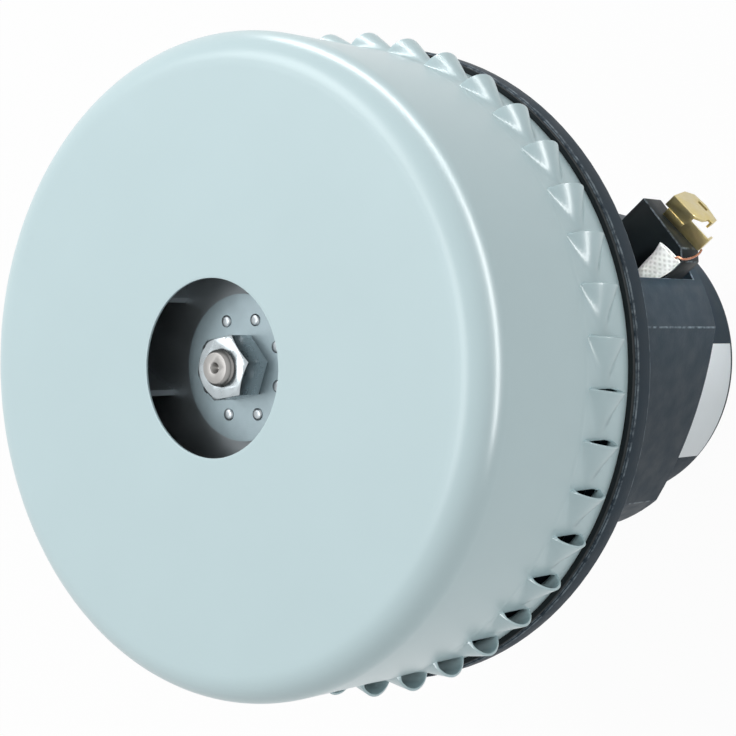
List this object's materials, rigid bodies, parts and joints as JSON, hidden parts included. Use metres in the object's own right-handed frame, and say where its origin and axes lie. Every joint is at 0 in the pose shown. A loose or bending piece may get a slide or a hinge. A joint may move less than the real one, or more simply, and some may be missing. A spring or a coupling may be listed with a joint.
{
  "type": "vacuum cleaner motor unit",
  "caption": "Vacuum cleaner suction motor: louvred round fan shell with inlet, dark moulded motor body with rim, carbon brush gear and a rear cover.",
  "frame": {"origin": "on the shaft axis at the rear cover's flat end, the bottom centre of the whole unit", "axes": "+Z along the shaft and out of the inlet, +X at the first brush"},
  "size_m": [0.1518, 0.1514, 0.164],
  "materials": {
    "shell_sheet": "satin pressed steel sheet with a pale blue-grey coat",
    "seal_rubber": "matt black moulded rubber",
    "moulding": "fine matt glass-filled moulding, dark blue-grey",
    "black_moulding": "smooth black thermoset moulding",
    "steel": "plain machined steel",
    "bright_steel": "bright zinc plate on steel",
    "aluminium": "rolled aluminium sheet",
    "lamination": "stacked electrical steel laminations",
    "copper": "enamelled copper winding wire",
    "bar_copper": "turned commutator copper",
    "brass": "folded brass sheet with an olive tarnish",
    "carbon": "pressed electrographite",
    "sleeve_fabric": "white woven glass-fibre sleeving",
    "label_stock": "plain white label film"
  },
  "bodies": {
    "stator": {"fan_shell": "shell_sheet", "shell_seal": "seal_rubber", "motor_housing": "moulding", "bearing_bracket": "steel", "bracket_screws": "bright_steel", "diffuser_front_disc": "aluminium", "diffuser_vanes": "aluminium", "diffuser_rear_disc": "aluminium", "stator_core": "lamination", "field_coil_a": "copper", "field_coil_b": "copper", "rear_cover": "moulding", "cover_screws": "bright_steel", "rating_label": "label_stock", "fan_bearing_outer": "steel", "fan_bearing_shields": "steel", "rear_bearing_outer": "steel", "rear_bearing_shields": "steel", "wave_washer": "steel", "brush_holder_a": "black_moulding", "brush_holder_b": "black_moulding", "brush_tube_a": "brass", "brush_tube_b": "brass", "terminal_clip_a": "brass", "terminal_clip_b": "brass", "brush_spring_a": "steel", "brush_spring_b": "steel", "lead_sleeve_a": "sleeve_fabric", "lead_sleeve_b": "sleeve_fabric", "lead_wire_a": "copper", "lead_wire_b": "copper"},
    "rotor": {"shaft": "bright_steel", "armature_core": "lamination", "armature_winding": "copper", "commutator_bars": "bar_copper", "commutator_hub": "black_moulding", "fan_bearing_inner": "bright_steel", "rear_bearing_inner": "bright_steel", "first_impeller_front": "aluminium", "first_impeller_vanes": "aluminium", "first_impeller_back": "aluminium", "first_hub_disc": "steel", "first_hub_rivets": "aluminium", "second_impeller_front": "aluminium", "second_impeller_vanes": "aluminium", "second_impeller_back": "aluminium", "second_hub_disc": "steel", "second_hub_rivets": "aluminium", "stage_spacer": "steel", "bearing_spacer": "steel", "fan_nut": "bright_steel", "cooling_fan": "black_moulding", "fan_clip": "steel"},
    "brush_a": {"carbon_brush_a": "carbon"},
    "brush_b": {"carbon_brush_b": "carbon"},
    "fan_bearing_set": {"fan_bearing_balls": "bright_steel", "fan_bearing_cage": "brass"},
    "rear_bearing_set": {"rear_bearing_balls": "bright_steel", "rear_bearing_cage": "brass"}
  },
  "joints": [
    {"name": "rotor_spin", "type": "hinge", "parent": "stator", "child": "rotor", "pos_m": [0, 0, 0.1], "axis": [0, 0, 1], "continuous": true},
    {"name": "brush_a_slide", "type": "slide", "parent": "stator", "child": "brush_a", "axis": [1, 0, 0], "range_m": [0, 0.004], "stiffness_N_per_m": 250, "springref_m": -0.012, "deforming": ["brush_spring_a"]},
    {"name": "brush_b_slide", "type": "slide", "parent": "stator", "child": "brush_b", "axis": [-1, 0, 0], "range_m": [0, 0.004], "stiffness_N_per_m": 250, "springref_m": -0.012, "deforming": ["brush_spring_b"]},
    {"name": "fan_cage_spin", "type": "hinge", "parent": "stator", "child": "fan_bearing_set", "pos_m": [0, 0, 0.1085], "axis": [0, 0, 1], "continuous": true},
    {"name": "rear_cage_spin", "type": "hinge", "parent": "stator", "child": "rear_bearing_set", "pos_m": [0, 0, 0.0241], "axis": [0, 0, 1], "continuous": true}
  ],
  "couplings": [
    {"joint": "fan_cage_spin", "follows": "rotor_spin", "ratio": 0.381},
    {"joint": "rear_cage_spin", "follows": "rotor_spin", "ratio": 0.3677}
  ]
}
